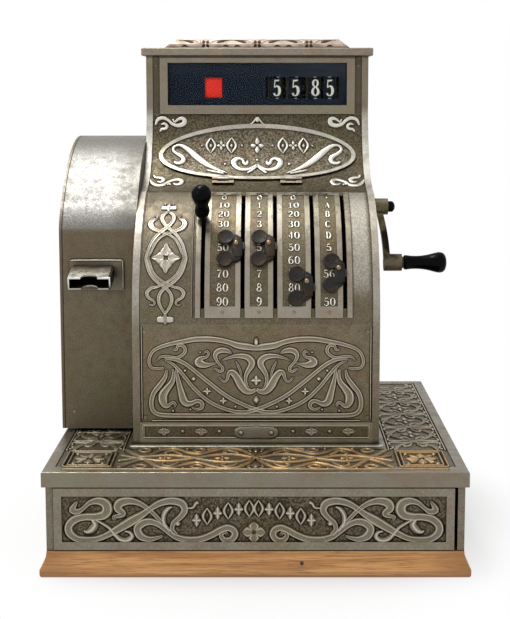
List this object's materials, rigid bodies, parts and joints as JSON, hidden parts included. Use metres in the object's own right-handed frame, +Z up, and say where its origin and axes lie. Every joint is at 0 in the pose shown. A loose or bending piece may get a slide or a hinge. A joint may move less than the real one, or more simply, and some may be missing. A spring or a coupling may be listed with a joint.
{
  "type": "ticket register",
  "caption": "Antique ticket register: ornate cabinet with swinging selector levers, indicator drums, side crank, ticket box and cash drawer.",
  "frame": {"origin": "centre of the plinth's underside, where the register rests on a counter", "axes": "+Z up, -Y towards the operator, +X to the operator's right, where the crank is"},
  "size_m": [0.4563, 0.41, 0.5694],
  "materials": {
    "nickel": "aged nickel plate, dark in the recesses, bright on the ridges",
    "copper_worn_nickel": "nickel plate worn to the copper on the ridges",
    "oak": "oiled oak",
    "inner_wood": "unvarnished hardwood",
    "steel": "oiled steel",
    "brass": "dull brass",
    "dark_bronze": "dark bronze",
    "black_lacquer": "polished black",
    "glass": "clear",
    "dark_enamel": "blue-black enamel",
    "drum_enamel": "black enamel with cream figures",
    "paper": "uncoated paper"
  },
  "bodies": {
    "root": {"wood_plinth": "oak", "drawer_case": "nickel", "base_cover_plate": "nickel", "cabinet_left_side": "nickel", "cabinet_right_side": "nickel", "cabinet_back": "nickel", "lower_front_panel": "nickel", "base_band": "nickel", "small_plate": "nickel", "keyboard_plate": "nickel", "number_strips": "nickel", "marquee_panel": "nickel", "window_frame": "nickel", "window_glass": "glass", "indicator_mask": "dark_enamel", "top_cap": "nickel", "top_crest": "copper_worn_nickel", "cross_shafts": "steel", "crank_bush": "brass", "inner_frames": "steel", "ticket_box_shell": "nickel", "ticket_chute": "nickel", "hinge_leaves_and_pins": "nickel", "bell": "brass", "panel_screws": "nickel"},
    "drawer": {"drawer_front": "nickel", "drawer_tray": "inner_wood", "till_dividers": "inner_wood", "coin_cups": "inner_wood"},
    "crank": {"crank_shaft": "steel", "crank_arm": "nickel", "crank_nut": "black_lacquer"},
    "crank_handle": {"crank_grip": "black_lacquer"},
    "main_drive": {"main_shaft": "steel", "main_gear": "steel"},
    "lid": {"oval_lid": "nickel"},
    "ticket_door": {"ticket_box_door": "nickel"},
    "paper": {"paper_roll": "paper"},
    "counter": {"counter_wheels": "drum_enamel"},
    "lever_flag": {"lever_flag": "steel", "lever_knob": "black_lacquer"},
    "rack_flag": {"rack_flag": "steel"},
    "drum_flag": {"drum_flag": "drum_enamel"},
    "lever_first": {"lever_first": "steel", "finger_tabs_first": "dark_bronze"},
    "rack_first": {"rack_first": "steel"},
    "drum_first": {"drum_first": "drum_enamel"},
    "lever_second": {"lever_second": "steel", "finger_tabs_second": "dark_bronze"},
    "rack_second": {"rack_second": "steel"},
    "drum_second": {"drum_second": "drum_enamel"},
    "lever_third": {"lever_third": "steel", "finger_tabs_third": "dark_bronze"},
    "rack_third": {"rack_third": "steel"},
    "drum_third": {"drum_third": "drum_enamel"},
    "lever_fourth": {"lever_fourth": "steel", "finger_tabs_fourth": "dark_bronze"},
    "rack_fourth": {"rack_fourth": "steel"},
    "drum_fourth": {"drum_fourth": "drum_enamel"}
  },
  "joints": [
    {"name": "drawer_slide", "type": "slide", "parent": "root", "child": "drawer", "axis": [0, -1, 0], "range_m": [0, 0.27]},
    {"name": "crank_turn", "type": "hinge", "parent": "root", "child": "crank", "pos_m": [0.1, 0.035, 0.367], "axis": [1, 0, 0], "continuous": true},
    {"name": "grip_spin", "type": "hinge", "parent": "crank", "child": "crank_handle", "pos_m": [0.2, 0.035, 0.299], "axis": [1, 0, 0], "continuous": true},
    {"name": "main_turn", "type": "hinge", "parent": "root", "child": "main_drive", "pos_m": [0.1, 0.095, 0.367], "axis": [1, 0, 0], "continuous": true},
    {"name": "lid_hinge", "type": "hinge", "parent": "root", "child": "lid", "pos_m": [0, 0.03904, 0.40048], "axis": [1, 0, 0], "range_deg": [0, 110]},
    {"name": "ticket_door_hinge", "type": "hinge", "parent": "root", "child": "ticket_door", "pos_m": [-0.2252, 0.1302, 0.25], "axis": [0, 0, -1], "range_deg": [0, 110]},
    {"name": "paper_turn", "type": "hinge", "parent": "root", "child": "paper", "pos_m": [-0.18, 0.055, 0.205], "axis": [1, 0, 0], "continuous": true},
    {"name": "counter_turn", "type": "hinge", "parent": "root", "child": "counter", "pos_m": [0, 0.096, 0.425], "axis": [1, 0, 0], "continuous": true},
    {"name": "rack_flag_slide", "type": "slide", "parent": "root", "child": "rack_flag", "axis": [0, 0, 1], "range_m": [0, 0.02513]},
    {"name": "lever_flag_swing", "type": "hinge", "parent": "root", "child": "lever_flag", "pos_m": [0, 0.056, 0.2466], "axis": [1, 0, 0], "range_deg": [0, 40.1]},
    {"name": "drum_flag_turn", "type": "hinge", "parent": "root", "child": "drum_flag", "pos_m": [0, 0.141, 0.5095], "axis": [1, 0, 0], "range_deg": [-241, 0]},
    {"name": "rack_first_slide", "type": "slide", "parent": "root", "child": "rack_first", "axis": [0, 0, 1], "range_m": [-0.01884, 0.01507]},
    {"name": "lever_first_swing", "type": "hinge", "parent": "root", "child": "lever_first", "pos_m": [0, 0.056, 0.2466], "axis": [1, 0, 0], "range_deg": [-30.1, 24.1]},
    {"name": "drum_first_turn", "type": "hinge", "parent": "root", "child": "drum_first", "pos_m": [0, 0.141, 0.5095], "axis": [1, 0, 0], "range_deg": [-145, 181]},
    {"name": "rack_second_slide", "type": "slide", "parent": "root", "child": "rack_second", "axis": [0, 0, 1], "range_m": [-0.01884, 0.01507]},
    {"name": "lever_second_swing", "type": "hinge", "parent": "root", "child": "lever_second", "pos_m": [0, 0.056, 0.2466], "axis": [1, 0, 0], "range_deg": [-30.1, 24.1]},
    {"name": "drum_second_turn", "type": "hinge", "parent": "root", "child": "drum_second", "pos_m": [0, 0.141, 0.5095], "axis": [1, 0, 0], "range_deg": [-145, 181]},
    {"name": "rack_third_slide", "type": "slide", "parent": "root", "child": "rack_third", "axis": [0, 0, 1], "range_m": [-0.03015, 0.00376]},
    {"name": "lever_third_swing", "type": "hinge", "parent": "root", "child": "lever_third", "pos_m": [0, 0.056, 0.2466], "axis": [1, 0, 0], "range_deg": [-48.1, 6.1]},
    {"name": "drum_third_turn", "type": "hinge", "parent": "root", "child": "drum_third", "pos_m": [0, 0.141, 0.5095], "axis": [1, 0, 0], "range_deg": [-37, 289]},
    {"name": "rack_fourth_slide", "type": "slide", "parent": "root", "child": "rack_fourth", "axis": [0, 0, 1], "range_m": [-0.02638, 0.00753]},
    {"name": "lever_fourth_swing", "type": "hinge", "parent": "root", "child": "lever_fourth", "pos_m": [0, 0.056, 0.2466], "axis": [1, 0, 0], "range_deg": [-42.1, 12.1]},
    {"name": "drum_fourth_turn", "type": "hinge", "parent": "root", "child": "drum_fourth", "pos_m": [0, 0.141, 0.5095], "axis": [1, 0, 0], "range_deg": [-73, 253]}
  ],
  "couplings": [
    {"joint": "main_turn", "follows": "crank_turn", "ratio": -0.5},
    {"joint": "lever_flag_swing", "follows": "rack_flag_slide", "rad_per_m": 27.778},
    {"joint": "drum_flag_turn", "follows": "rack_flag_slide", "rad_per_m": -166.67},
    {"joint": "lever_first_swing", "follows": "rack_first_slide", "rad_per_m": 27.778},
    {"joint": "drum_first_turn", "follows": "rack_first_slide", "rad_per_m": -166.67},
    {"joint": "lever_second_swing", "follows": "rack_second_slide", "rad_per_m": 27.778},
    {"joint": "drum_second_turn", "follows": "rack_second_slide", "rad_per_m": -166.67},
    {"joint": "lever_third_swing", "follows": "rack_third_slide", "rad_per_m": 27.778},
    {"joint": "drum_third_turn", "follows": "rack_third_slide", "rad_per_m": -166.67},
    {"joint": "lever_fourth_swing", "follows": "rack_fourth_slide", "rad_per_m": 27.778},
    {"joint": "drum_fourth_turn", "follows": "rack_fourth_slide", "rad_per_m": -166.67}
  ]
}
